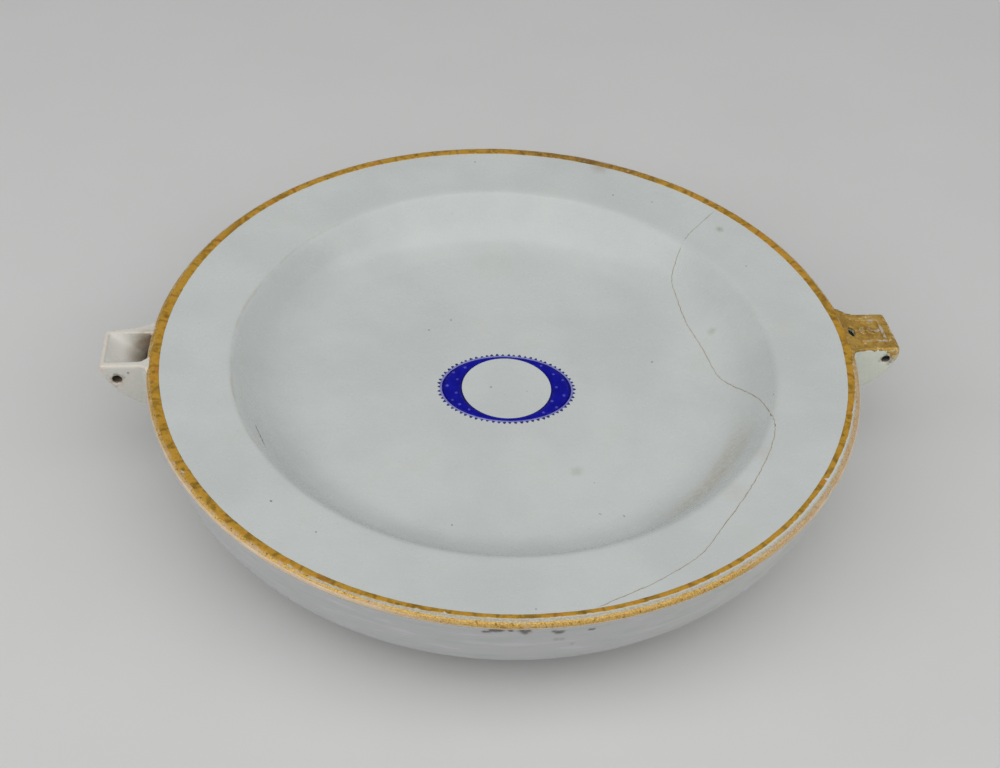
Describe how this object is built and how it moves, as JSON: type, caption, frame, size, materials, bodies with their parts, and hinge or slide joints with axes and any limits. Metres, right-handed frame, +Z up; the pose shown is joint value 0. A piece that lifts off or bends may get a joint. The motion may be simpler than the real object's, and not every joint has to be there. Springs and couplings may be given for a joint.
{
  "type": "hot water plate",
  "caption": "Round porcelain plate on a closed hot water basin, with an open filling lug, a closed vent lug, a gilt rim and a blue enamel medallion.",
  "frame": {"origin": "under the middle of the plate, at the level that the foot stands on", "axes": "+Z up, +X from the spout lug to the vent lug, +Y to the far side"},
  "size_m": [0.2769, 0.2442, 0.0469],
  "materials": {
    "porcelain": "glossy bluish grey-white glaze",
    "biscuit": "unglazed, matt",
    "relief": "moulded, glazed, with rubbed gilding",
    "gilding": "ochre gilding, rubbed",
    "gilding_edge": "worn bright gilding",
    "blue_enamel": "glossy cobalt blue enamel",
    "pale_enamel": "pale periwinkle enamel",
    "bead_enamel": "dark blue enamel dots"
  },
  "bodies": {
    "root": {"well_plate": "porcelain", "rim_seam": "porcelain", "water_basin": "porcelain", "foot_ring": "biscuit", "spout_near_wall": "porcelain", "spout_far_wall": "porcelain", "spout_end_wall": "porcelain", "spout_luting": "porcelain", "vent_lug_near_wall": "porcelain", "vent_lug_far_wall": "porcelain", "vent_lug_end_wall": "porcelain", "vent_lug_top": "porcelain", "vent_lug_luting": "porcelain", "vent_lug_border": "relief", "vent_lug_sprig": "relief", "vent_lug_gilding": "gilding", "rim_gilt_band": "gilding", "rim_gilt_edge": "gilding_edge", "medallion_ground": "blue_enamel", "medallion_line": "pale_enamel", "medallion_beads": "bead_enamel", "medallion_stars": "pale_enamel"}
  },
  "joints": []
}
